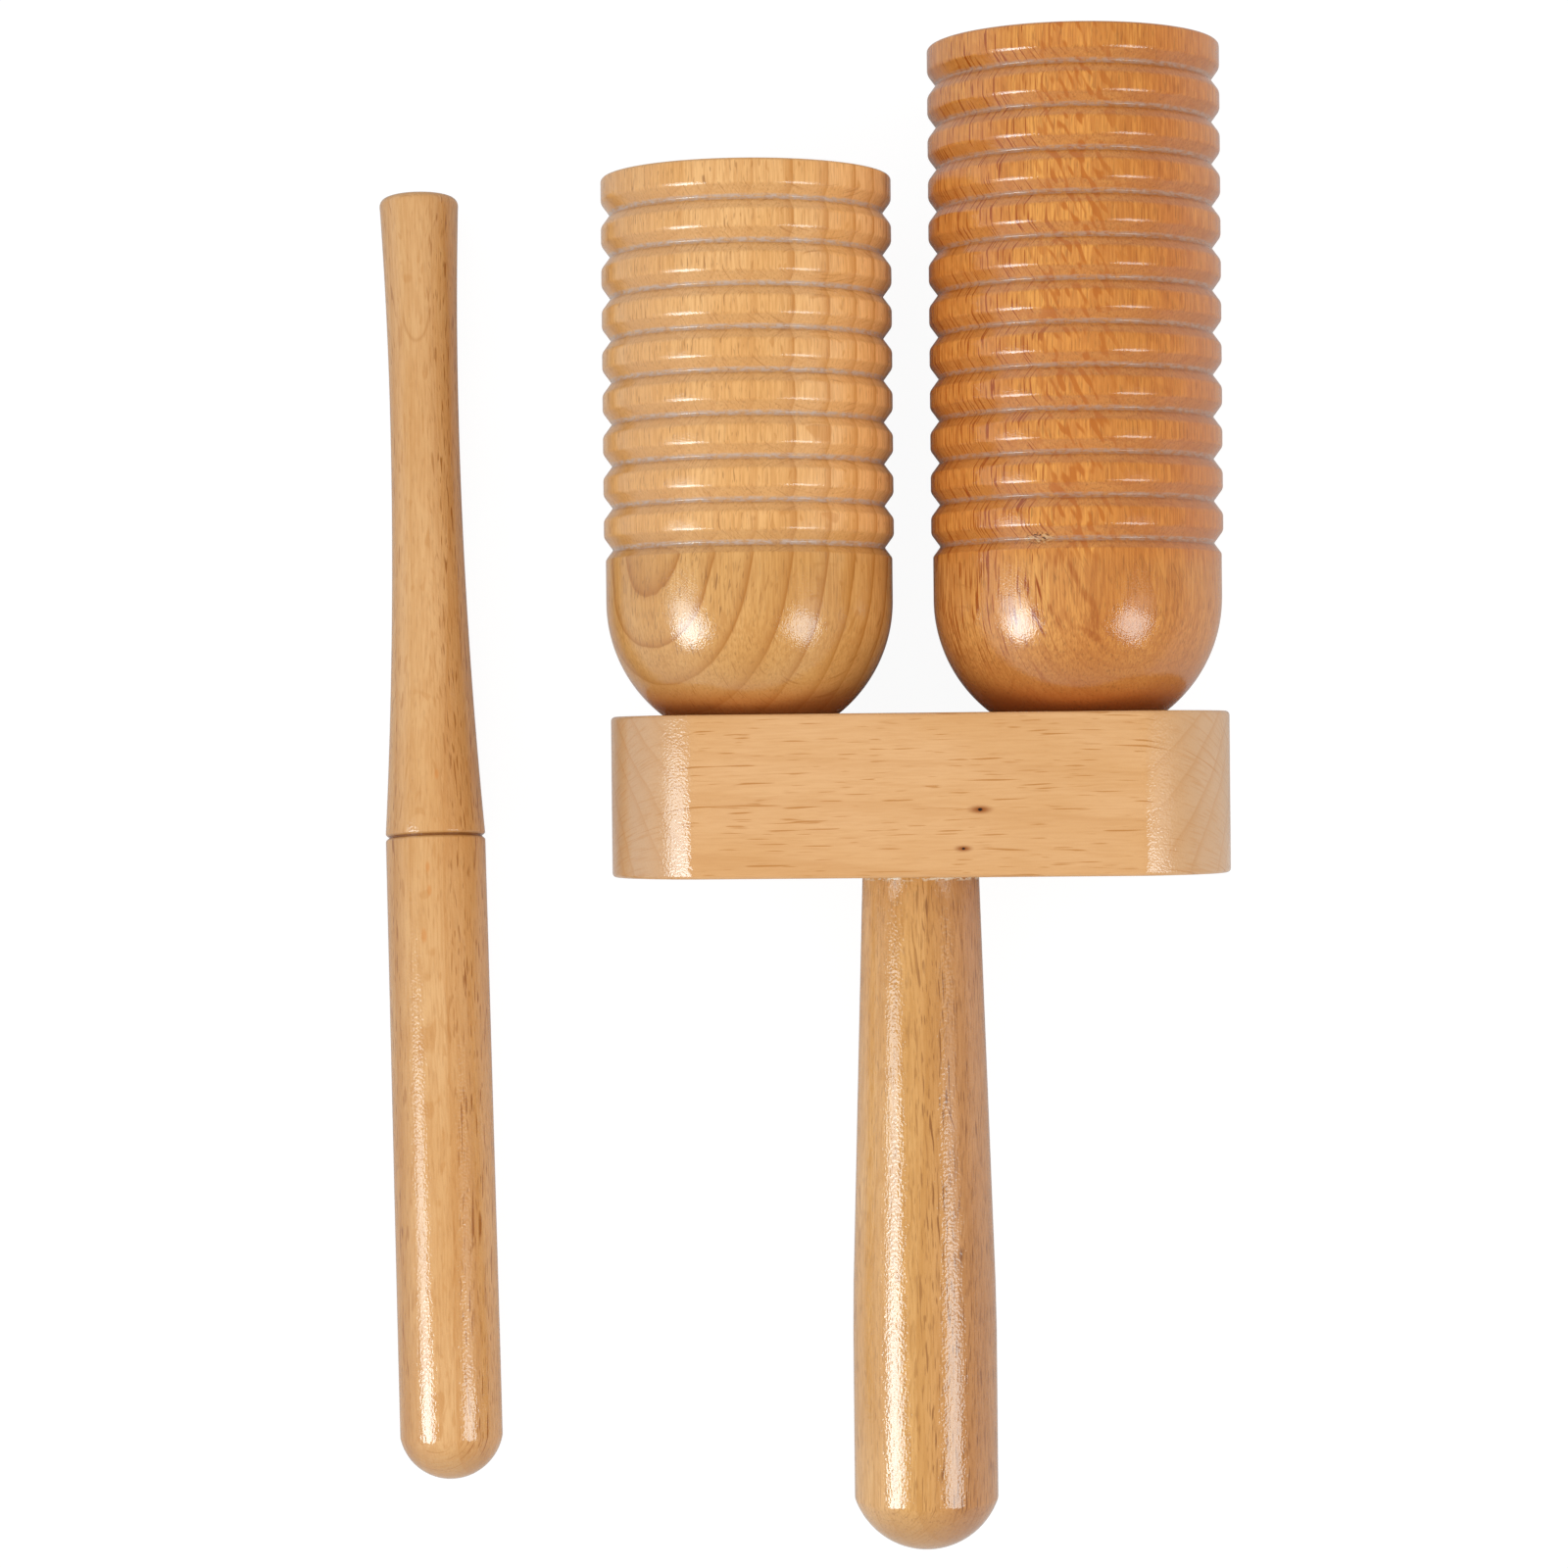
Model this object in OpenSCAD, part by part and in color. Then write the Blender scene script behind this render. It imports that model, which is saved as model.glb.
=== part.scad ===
// Two-tone wood block with ribbed scraper tubes: two turned beech tubes of unlike length
// stand side by side on a crossbar, which a turned handle carries from below.
// The set lies on a table as it is put down: the block on its two domes and the end of its
// handle, with the mouths a little raised, and the turned beater beside it on its thick half.

/* [Tubes] */
// Outer diameter of both tubes, over the crests of the ribs
tube_d = 47.6; // [42:0.1:56]
// Diameter of the ball-shaped foot and of the plain skirt above it
foot_d = 47; // [41:0.1:56]
// Wall of the tubes between bore and crests
tube_wall = 5.8; // [4.5:0.1:8]
// Wood left under the bore, at the axis
tube_floor = 18; // [12:0.5:24]
// Diameter of the flat on which each tube stands
base_flat_d = 28.5; // [20:0.5:34]
// Plain skirt from the widest line of the dome up to the middle of the lowest groove
skirt_h = 8.6; // [6:0.1:14]
// Number of grooves round the short tube, which sounds high
high_grooves = 9; // [4:1:11]
// Number of grooves round the long tube, which sounds low
low_grooves = 12; // [5:1:15]
// Distance from groove to groove
groove_pitch = 6.85; // [5:0.05:9]
// Width of a groove at the crests
groove_w = 4.1; // [2:0.1:4.8]
// Depth of a groove
groove_depth = 1.5; // [0.6:0.1:2.4]
// Plain band from the middle of the top groove to the mouth
mouth_band = 6; // [4:0.1:12]
// Rounding of the mouth's outer edge
rim_round = 0.6; // [0.2:0.1:1.4]
// Chamfer of the mouth's inner edge
mouth_chamfer = 0.8; // [0.3:0.1:1.5]
// Gap between the two tubes
tube_gap = 6.1; // [3:0.1:16]
// How far the middle of the pair stands from the handle's axis, towards the short tube
pair_shift = 0.8; // [0:0.1:3]

/* [Crossbar] */
// Length of the crossbar over its round ends
bar_len = 101.2; // [92:0.1:125]
// Depth of the crossbar, front to back
bar_depth = 38.6; // [32:0.1:42]
// How far the radius of the round ends exceeds half the depth, so that they meet the faces in a crease
bar_end_over = 0.7; // [0.1:0.1:4]
// Height of the crossbar
bar_h = 26.3; // [22:0.1:36]
// Rounding of the crossbar's long edges
bar_edge = 0.7; // [0.3:0.1:2]

/* [Handle] */
// Diameter of the handle where it meets the crossbar
handle_neck_d = 19.1; // [17:0.1:24]
// Diameter of the handle's straight grip
handle_d = 23.5; // [20:0.1:28]
// Length of the taper from the neck to the straight grip
handle_taper_len = 70.5; // [50:0.5:90]
// Length of the straight grip
handle_grip_len = 31.6; // [20:0.1:45]
// Height of the domed end
handle_dome_h = 8.4; // [4:0.1:9.8]
// Diameter of the tenon that is glued into the crossbar
tenon_d = 14; // [10:0.1:16]
// Length of the tenon
tenon_len = 16; // [10:0.1:18]
// Room left for glue round the tenon, on the radius
tenon_glue = 0.05; // [0.02:0.01:0.15]
// Room left for glue past the tenon's end
tenon_end_gap = 0.6; // [0.2:0.1:1.5]

/* [Tube screws] */
// Diameter of a screw's shank and of its thread
screw_d = 4; // [3:0.1:5]
// Diameter of a screw's countersunk head
screw_head_d = 8; // [6:0.1:9.5]
// How far the head lies below the floor of the bore
head_sink = 0.4; // [0.2:0.1:1]
// Length of thread held in the crossbar
screw_bite = 17; // [12:0.5:19]
// Diameter of the thread's core
screw_core_d = 2.8; // [2:0.1:3]
// Distance from thread to thread
thread_pitch = 1.8; // [1.2:0.1:2.4]
// Length of the screw's point
screw_point = 4; // [2:0.1:6]
// Clearance round the shank in the tube's floor, on the radius
screw_clear = 0.15; // [0.05:0.05:0.4]
// Diameter of the pilot hole in the crossbar
pilot_d = 3; // [2.6:0.1:3.4]
// Depth of the pilot hole past the screw's point
pilot_end_gap = 1; // [0.5:0.1:2]
// Length of the cross recess from tip to tip
recess_len = 4.6; // [3:0.1:5]
// Width of the recess's slots
recess_w = 0.9; // [0.6:0.1:1.2]
// Depth of the recess
recess_depth = 1.7; // [1:0.1:2]

/* [Beater] */
// Length of the beater
beater_len = 215.5; // [170:0.5:250]
// Diameter of the beater's thin end
butt_d = 13.5; // [11:0.1:15]
// Rounding of the thin end's edge
butt_round = 1.6; // [0.5:0.1:3]
// Smallest diameter of the waisted half
waist_d = 11.65; // [9:0.05:12.5]
// Distance from the thin end to the waist
waist_from_butt = 37.5; // [25:0.5:50]
// Diameter of the thick half beside the ring groove
shoulder_d = 16.65; // [14:0.05:19]
// Diameter of the thick half where it is widest
head_d = 16.95; // [15:0.05:20]
// Length of the straight stretch at the widest diameter
head_straight = 14; // [6:0.5:30]
// Height of the thick half's domed end
head_dome_h = 7; // [4:0.1:7.2]
// Width of the ring groove at mid length
ring_w = 1.4; // [0.8:0.1:2.5]
// Depth of the ring groove
ring_depth = 0.6; // [0.3:0.1:1]

/* [As it lies] */
// Free space between the block and the beater
beater_gap = 21.7; // [8:0.1:60]
// Where the ring groove lies along the handle's axis, measured down from the crossbar's top
beater_drop = 17.6; // [0:0.1:40]
// How far the beater is turned out of line with the handle
beater_turn = 1.6; // [0:0.01:5]

/* [Hidden] */
$fn = 96;
// Segments of the full circle of which the waist's long sweep is a short arc
sweep_fn = 2000;

// Overlap that lets a cut run clear of a face
cut_past = 1;

tube_r = tube_d / 2;
foot_r = foot_d / 2;
bore_r = tube_r - tube_wall;
dome_z = sqrt(pow(foot_r, 2) - pow(base_flat_d / 2, 2));
lowest_groove_z = dome_z + skirt_h;
high_x = -tube_r - tube_gap / 2 - pair_shift;
low_x = tube_r + tube_gap / 2 - pair_shift;

bar_end_r = bar_depth / 2 + bar_end_over;
bar_end_x = bar_len / 2 - bar_end_r;

handle_r = handle_d / 2;
taper_end_z = -bar_h - handle_taper_len;
grip_end_z = taper_end_z - handle_grip_len;
handle_tip_z = grip_end_z - handle_dome_h;
handle_ball_r = ball_radius(handle_r, handle_dome_h);

screw_head_z = tube_floor - head_sink;
shank_r = screw_d / 2;
head_cone_h = (screw_head_d - screw_d) / 2;
thread_count = floor((screw_bite - screw_point) / thread_pitch);

head_r = head_d / 2;
shoulder_r = shoulder_d / 2;
waist_r = waist_d / 2;
ring_z = beater_len / 2;
widest_z = head_dome_h + head_straight;
waist_z = beater_len - waist_from_butt;
butt_r = butt_d / 2;

// The block lies on its domes and on the edge where the handle's grip meets its domed end
rest_reach = dome_z - grip_end_z;
rest_tilt = asin(foot_r / norm([rest_reach, handle_r])) - atan2(handle_r, rest_reach);
rest_lift = foot_r - dome_z * sin(rest_tilt);
// The beater lies along the slight cone of its thick half
beater_tilt = atan2(head_r - shoulder_r, ring_z - widest_z);

// The origin is under the middle of the whole set
block_left = min(-bar_len / 2, high_x - tube_r);
block_right = max(bar_len / 2, low_x + tube_r);
beater_x = block_left - beater_gap - head_r;
set_left = beater_x - shoulder_r * cos(beater_turn);
set_middle_x = (set_left + block_right) / 2;
rim_corner = [tube_r - rim_round, tube_height(low_grooves) - rim_round];
set_top_y = rim_corner[0] * sin(rest_tilt) + rim_corner[1] * cos(rest_tilt) + rim_round;
set_bottom_y = (handle_tip_z + handle_ball_r) * cos(rest_tilt) - handle_ball_r;
set_middle_y = (set_top_y + set_bottom_y) / 2;

function tube_height(grooves) = lowest_groove_z + (grooves - 1) * groove_pitch + mouth_band;

// Radius of a ball whose cap has this rim radius and this height
function ball_radius(rim, cap) = (pow(rim, 2) + pow(cap, 2)) / (2 * cap);

// Puts the upright block down on its side, front up
module laid_block() {
    translate([-set_middle_x, -set_middle_y, rest_lift])
        rotate([rest_tilt - 90, 0, 0])
            children();
}

// Puts the upright beater down beside the block, thick end towards the handle's end
module laid_beater() {
    translate([beater_x - set_middle_x, -beater_drop - set_middle_y, shoulder_r * cos(beater_tilt)])
        rotate([0, 0, beater_turn])
            rotate([-90 - beater_tilt, 0, 0])
                translate([0, 0, -ring_z])
                    children();
}

// Half section of the solid tube: ball-shaped foot with a flat, plain skirt that ends in the
// lowest groove, straight side for the ribs, rounded rim
module tube_section(height) {
    intersection() {
        translate([0, dome_z])
            circle(r = foot_r);
        square([foot_r, dome_z]);
    }
    translate([0, dome_z])
        square([foot_r, skirt_h]);
    translate([0, lowest_groove_z]) {
        square([tube_r, height - lowest_groove_z - rim_round]);
        square([tube_r - rim_round, height - lowest_groove_z]);
        translate([tube_r - rim_round, height - lowest_groove_z - rim_round])
            circle(r = rim_round);
    }
}

// Ring with a V section that cuts one groove into a round side
module groove_ring(radius, width, depth) {
    slope = width / 2 / depth;
    half_past = width / 2 + slope * cut_past;
    rotate_extrude()
        polygon([
            [radius - depth, 0],
            [radius + cut_past, -half_past],
            [radius + cut_past, half_past]
        ]);
}

// Countersunk clearance hole through the tube's floor
module screw_hole() {
    hole_r = shank_r + screw_clear;
    sink_top_r = screw_head_d / 2 + head_sink + cut_past;
    sink_h = sink_top_r - hole_r;
    translate([0, 0, -cut_past])
        cylinder(h = tube_floor + cut_past, r = hole_r);
    translate([0, 0, tube_floor + cut_past - sink_h])
        cylinder(h = sink_h, r1 = hole_r, r2 = sink_top_r);
}

// Turned tube with grooved side, blind bore and screw hole, standing on its flat
module ribbed_tube(grooves) {
    height = tube_height(grooves);
    difference() {
        rotate_extrude()
            tube_section(height);
        for (i = [0 : grooves - 1])
            translate([0, 0, lowest_groove_z + i * groove_pitch])
                groove_ring(tube_r, groove_w, groove_depth);
        translate([0, 0, tube_floor])
            cylinder(h = height - tube_floor + cut_past, r = bore_r);
        translate([0, 0, height - mouth_chamfer])
            cylinder(h = mouth_chamfer + cut_past, r1 = bore_r, r2 = bore_r + mouth_chamfer + cut_past);
        screw_hole();
    }
}

module high_tube() {
    color("burlywood")
        laid_block()
            translate([high_x, 0, 0])
                ribbed_tube(high_grooves);
}

module low_tube() {
    color("peru")
        laid_block()
            translate([low_x, 0, 0])
                ribbed_tube(low_grooves);
}

// Section of the crossbar across its length, with its four long edges rounded
module bar_section(width) {
    for (side = [-1, 1], level = [-1, 1])
        translate([side * (width / 2 - bar_edge), level * (bar_h / 2 - bar_edge)])
            circle(r = bar_edge);
    square([width - 2 * bar_edge, bar_h], center = true);
    square([width, bar_h - 2 * bar_edge], center = true);
}

// Half section of the disc that gives the bar a round end, with its edges rounded the same way
module bar_end_section() {
    intersection() {
        bar_section(2 * bar_end_r);
        translate([0, -bar_h / 2])
            square([bar_end_r, bar_h]);
    }
}

// Bar with round ends before it is drilled
module bar_blank() {
    intersection() {
        rotate([90, 0, 90])
            linear_extrude(height = bar_len, center = true)
                bar_section(bar_depth);
        union() {
            cube([2 * bar_end_x, bar_depth + 2 * cut_past, bar_h + 2 * cut_past], center = true);
            for (side = [-1, 1])
                translate([side * bar_end_x, 0, 0])
                    rotate_extrude()
                        bar_end_section();
        }
    }
}

module crossbar() {
    color("navajowhite")
        laid_block()
            difference() {
                translate([0, 0, -bar_h / 2])
                    bar_blank();
                translate([0, 0, -bar_h - cut_past])
                    cylinder(h = tenon_len + tenon_end_gap + cut_past, r = tenon_d / 2 + tenon_glue);
                for (x = [high_x, low_x])
                    translate([x, 0, -screw_bite - pilot_end_gap])
                        cylinder(h = screw_bite + pilot_end_gap + cut_past, r = pilot_d / 2);
            }
}

// Cut that leaves a ball-shaped end, standing on the end's tip
module ball_end_cut(ball_r) {
    difference() {
        translate([0, 0, -cut_past])
            cylinder(h = ball_r + cut_past, r = ball_r + cut_past);
        translate([0, 0, ball_r])
            sphere(r = ball_r);
    }
}

// Turned handle: tenon, taper that widens towards the end, straight grip, domed end
module handle() {
    color("tan")
        laid_block()
            difference() {
                union() {
                    translate([0, 0, -bar_h])
                        cylinder(h = tenon_len, r = tenon_d / 2);
                    translate([0, 0, taper_end_z])
                        cylinder(h = handle_taper_len, r1 = handle_r, r2 = handle_neck_d / 2);
                    translate([0, 0, handle_tip_z])
                        cylinder(h = handle_dome_h + handle_grip_len, r = handle_r);
                }
                translate([0, 0, handle_tip_z])
                    ball_end_cut(handle_ball_r);
            }
}

// Countersunk wood screw, standing in its hole with the point down
module tube_screw() {
    neck_z = screw_head_z - head_cone_h;
    difference() {
        union() {
            translate([0, 0, neck_z])
                cylinder(h = head_cone_h, r1 = shank_r, r2 = screw_head_d / 2);
            cylinder(h = neck_z, r = shank_r);
            translate([0, 0, screw_point - screw_bite])
                cylinder(h = screw_bite - screw_point, r = screw_core_d / 2);
            translate([0, 0, -screw_bite])
                cylinder(h = screw_point, r1 = 0, r2 = screw_core_d / 2);
            for (i = [1 : thread_count])
                translate([0, 0, (0.5 - i) * thread_pitch])
                    thread_ridge();
        }
        for (turn = [0, 90])
            rotate([0, 0, turn])
                translate([-recess_len / 2, -recess_w / 2, screw_head_z - recess_depth])
                    cube([recess_len, recess_w, recess_depth + cut_past]);
    }
}

// One sharp ridge of the thread round the core
module thread_ridge() {
    rise = (screw_d - screw_core_d) / 2;
    rotate_extrude()
        polygon([
            [0, -rise],
            [screw_core_d / 2, -rise],
            [shank_r, 0],
            [screw_core_d / 2, rise],
            [0, rise]
        ]);
}

module high_tube_screw() {
    color("silver")
        laid_block()
            translate([high_x, 0, 0])
                tube_screw();
}

module low_tube_screw() {
    color("silver")
        laid_block()
            translate([low_x, 0, 0])
                tube_screw();
}

// Half section of one side of the waist, hollowed by a long sweep from the waist out to its end
module sweep_section(reach, end_r) {
    sweep_r = ball_radius(reach, end_r - waist_r);
    difference() {
        square([end_r, reach]);
        translate([waist_r + sweep_r, 0])
            circle(r = sweep_r, $fn = sweep_fn);
    }
}

// Half section of the thin end: straight side, rounded edge and flat end
module butt_section() {
    square([butt_r, waist_from_butt - butt_round]);
    square([butt_r - butt_round, waist_from_butt]);
    translate([butt_r - butt_round, waist_from_butt - butt_round])
        circle(r = butt_round);
}

// Half section of the waisted half, from the ring groove to the thin end, with the waist at zero
module waist_section() {
    mirror([0, 1])
        sweep_section(waist_z - ring_z, shoulder_r);
    intersection() {
        sweep_section(waist_from_butt, butt_r);
        butt_section();
    }
}

// Turned beater: domed thick half, ring groove at mid length, waisted thin half
module beater() {
    color("sandybrown")
        laid_beater()
            difference() {
                union() {
                    cylinder(h = widest_z, r = head_r);
                    translate([0, 0, widest_z])
                        cylinder(h = ring_z - widest_z, r1 = head_r, r2 = shoulder_r);
                    translate([0, 0, waist_z])
                        rotate_extrude()
                            waist_section();
                }
                ball_end_cut(ball_radius(head_r, head_dome_h));
                translate([0, 0, ring_z])
                    groove_ring(shoulder_r, ring_w, ring_depth);
            }
}

high_tube();
low_tube();
crossbar();
handle();
high_tube_screw();
low_tube_screw();
beater();
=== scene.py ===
import math

import bmesh
import bpy
from mathutils import Matrix, Vector


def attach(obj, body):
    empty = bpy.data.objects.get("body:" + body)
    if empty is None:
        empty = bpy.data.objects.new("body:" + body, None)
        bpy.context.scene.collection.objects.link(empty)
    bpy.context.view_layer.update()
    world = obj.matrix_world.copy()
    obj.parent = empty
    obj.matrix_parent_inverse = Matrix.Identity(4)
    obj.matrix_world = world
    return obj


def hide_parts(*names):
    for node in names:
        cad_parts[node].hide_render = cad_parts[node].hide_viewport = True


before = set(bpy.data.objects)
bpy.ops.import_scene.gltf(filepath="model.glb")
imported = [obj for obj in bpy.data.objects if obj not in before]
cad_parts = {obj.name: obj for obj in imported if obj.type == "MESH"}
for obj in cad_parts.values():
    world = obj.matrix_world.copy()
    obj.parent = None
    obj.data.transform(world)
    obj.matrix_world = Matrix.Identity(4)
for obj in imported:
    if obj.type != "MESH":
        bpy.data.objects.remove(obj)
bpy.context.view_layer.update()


# Crossbar
# A pale beech board with round ends, sawn along the grain and eased at its edges by sanding.
# It carries everything: the handle is glued into its underside, and a screw from inside
# each tube bites into its top.

MM = 0.001
block_place = Vector((19.6734, 13.1258, 22.0024)) * MM
block_turn = (math.radians(-85.40328), 0.0, 0.0)

bar_height = 26.3 * MM
bar_half_depth = 19.3 * MM
bar_end_radius = 19.985 * MM
bar_end_x = 30.6 * MM
bar_end_steps = 56
bar_edge = 0.7 * MM
bar_crease = 0.5 * MM
bar_face_area = 500 * MM**2
bar_face_margin = 0.3 * MM
tenon_hole_radius = 7.05 * MM
tenon_hole_depth = 16.6 * MM
pilot_radius = 1.5 * MM
pilot_depth = 18.0 * MM
high_tube_x = -27.65 * MM
low_tube_x = 26.05 * MM
same_place = 0.01 * MM
seam_gap = 0.002 * MM


def start_line(name, corner):
    """A new piece that is a single point, ready to be drawn on."""
    bpy.ops.object.select_all(action="DESELECT")
    bpy.ops.mesh.primitive_plane_add(size=MM)
    piece = bpy.context.object
    piece.name = name
    piece.data.name = name
    bpy.ops.object.mode_set(mode="EDIT")
    bpy.ops.mesh.merge(type="CENTER")
    bpy.ops.transform.translate(value=corner)
    return piece


def line_to(piece, *corners):
    """Draws on from the selected point through the given corners."""
    for corner in corners:
        shape = bmesh.from_edit_mesh(piece.data)
        end = next(v.co.copy() for v in shape.verts if v.select)
        bpy.ops.mesh.extrude_region_move(TRANSFORM_OT_translate={"value": Vector(corner) - end})


def arc_on(steps, degrees, centre, axis):
    """Draws on from the selected point along an arc."""
    bpy.ops.mesh.spin(steps=steps, angle=math.radians(degrees), center=centre, axis=axis)


def pick(piece, kind, wanted):
    """Selects the points, edges or faces that a test names by their place."""
    bpy.ops.mesh.select_mode(type=kind)
    bpy.ops.mesh.select_all(action="DESELECT")
    shape = bmesh.from_edit_mesh(piece.data)
    for part in {"VERT": shape.verts, "EDGE": shape.edges, "FACE": shape.faces}[kind]:
        part.select_set(wanted(part))
    shape.select_flush_mode()
    bmesh.update_edit_mesh(piece.data)


def round_corners(piece, corners, size, segments):
    """Rounds the drawn line at the given corners."""
    near = [Vector(c) for c in corners]
    pick(piece, "VERT", lambda v: any((v.co - c).length < same_place for c in near))
    bpy.ops.mesh.bevel(offset=size, offset_type="OFFSET", segments=segments, affect="VERTICES")


def close_up(piece):
    """Merges the seam and turns every face outwards."""
    bpy.ops.mesh.select_mode(type="VERT")
    bpy.ops.mesh.select_all(action="SELECT")
    bpy.ops.mesh.remove_doubles(threshold=seam_gap)
    bpy.ops.mesh.normals_make_consistent(inside=False)
    bpy.ops.object.mode_set(mode="OBJECT")


def lay_down(piece, place, turn, smooth_degrees):
    """Lays the upright piece where it lies on the table, with its place in its mesh."""
    piece.rotation_euler = turn
    piece.location = place
    bpy.ops.object.select_all(action="DESELECT")
    piece.select_set(True)
    bpy.context.view_layer.objects.active = piece
    bpy.ops.object.transform_apply(location=True, rotation=True, scale=True)
    bpy.ops.object.shade_smooth_by_angle(angle=math.radians(smooth_degrees))


def drill(piece, radius, mouth, depth):
    """Drills a round blind hole straight down or up from its mouth."""
    bpy.ops.object.select_all(action="DESELECT")
    past = math.copysign(MM, depth)
    middle = Vector(mouth) + Vector((0, 0, (depth - past) / 2))
    bpy.ops.mesh.primitive_cylinder_add(vertices=64, radius=radius, depth=abs(depth) + MM, location=middle)
    bit = bpy.context.object
    bpy.context.view_layer.objects.active = piece
    cut = piece.modifiers.new("hole", "BOOLEAN")
    cut.object = bit
    cut.operation = "DIFFERENCE"
    cut.solver = "EXACT"
    bpy.ops.object.modifier_apply(modifier=cut.name)
    bpy.data.objects.remove(bit)


bar_crease_x = bar_end_x + math.sqrt(bar_end_radius**2 - bar_half_depth**2)
bar_end_sweep = 2 * math.degrees(math.atan2(bar_half_depth, bar_crease_x - bar_end_x))
bar_creases = [(sx * bar_crease_x, sy * bar_half_depth, -bar_height) for sx in (-1, 1) for sy in (-1, 1)]
crossbar = start_line("beech_crossbar", (bar_crease_x, -bar_half_depth, -bar_height))
arc_on(bar_end_steps, bar_end_sweep, centre=(bar_end_x, 0, -bar_height), axis=(0, 0, -1))
line_to(crossbar, (-bar_crease_x, bar_half_depth, -bar_height))
arc_on(bar_end_steps, bar_end_sweep, centre=(-bar_end_x, 0, -bar_height), axis=(0, 0, -1))
bpy.ops.mesh.select_all(action="SELECT")
bpy.ops.mesh.edge_face_add()
round_corners(crossbar, bar_creases, size=bar_crease, segments=4)
bpy.ops.mesh.select_all(action="SELECT")
bpy.ops.mesh.extrude_region_move(TRANSFORM_OT_translate={"value": (0, 0, bar_height)})
pick(crossbar, "EDGE", lambda e: abs(e.verts[0].co.z - e.verts[1].co.z) < same_place)
bpy.ops.mesh.bevel(offset=bar_edge, segments=6, profile=0.5, affect="EDGES")
pick(crossbar, "FACE", lambda f: f.calc_area() > bar_face_area)
bpy.ops.mesh.inset(thickness=bar_face_margin, use_individual=True)
close_up(crossbar)
drill(crossbar, tenon_hole_radius, (0, 0, -bar_height), tenon_hole_depth)
for screw_x in (high_tube_x, low_tube_x):
    drill(crossbar, pilot_radius, (screw_x, 0, 0), -pilot_depth)
lay_down(crossbar, block_place, block_turn, smooth_degrees=20)


def add(tree, kind, sockets=None, **settings):
    """Adds one node; a socket takes a value, or the output of another node."""
    made = tree.nodes.new("ShaderNode" + kind)
    for setting, value in settings.items():
        setattr(made, setting, value)
    for socket, value in (sockets or {}).items():
        if isinstance(value, bpy.types.NodeSocket):
            tree.links.new(value, made.inputs[socket])
        else:
            made.inputs[socket].default_value = value
    return made


def work_out(tree, operation, *values):
    """The result of one sum on numbers."""
    return add(tree, "Math", dict(enumerate(values)), operation=operation).outputs[0]


def product(tree, *shares):
    """All the shares multiplied with each other."""
    total = shares[0]
    for share in shares[1:]:
        total = work_out(tree, "MULTIPLY", total, share)
    return total


def stretch(tree, vector, factors):
    """The vector with each of its directions scaled."""
    return add(tree, "VectorMath", {0: vector, 1: factors}, operation="MULTIPLY").outputs[0]


def length_of(tree, vector):
    """How long a vector is."""
    return add(tree, "VectorMath", {0: vector}, operation="LENGTH").outputs["Value"]


def parts_of(tree, vector):
    """The X, Y and Z of a vector."""
    return add(tree, "SeparateXYZ", {0: vector}).outputs


def ease(tree, value, low, high, at_low=0.0, at_high=1.0):
    """Smooth step of a value from one level to another."""
    levels = {0: value, 1: low, 2: high, 3: at_low, 4: at_high}
    return add(tree, "MapRange", levels, interpolation_type="SMOOTHSTEP").outputs[0]


def noise(tree, vector, detail=2.0, rough=0.5):
    """Soft noise along the given vector, as a value and as a colour."""
    sockets = {"Vector": vector, "Scale": 1.0, "Detail": detail, "Roughness": rough}
    return add(tree, "TexNoise", sockets).outputs


def cloud(tree, vector, detail=2.0, rough=0.5):
    """Soft noise along the given vector, as a value."""
    return noise(tree, vector, detail, rough)[0]


def tint(tree, share, under, over, kind="MIX"):
    """One colour laid over another."""
    return add(tree, "Mix", {0: share, 6: under, 7: over}, data_type="RGBA", blend_type=kind).outputs[2]


def ray_flecks(tree, out, round_heart, along, size, level):
    """Ray cells: thin upright sheets that run out from the tree's heart, here and there."""
    soft_edge = 0.09
    sheets = add(tree, "CombineXYZ", {
        0: work_out(tree, "DIVIDE", out, size[0]),
        1: work_out(tree, "DIVIDE", round_heart, size[1]),
        2: work_out(tree, "DIVIDE", along, size[2]),
    }).outputs[0]
    return ease(tree, cloud(tree, sheets, detail=0.0), level, level + soft_edge)


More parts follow.
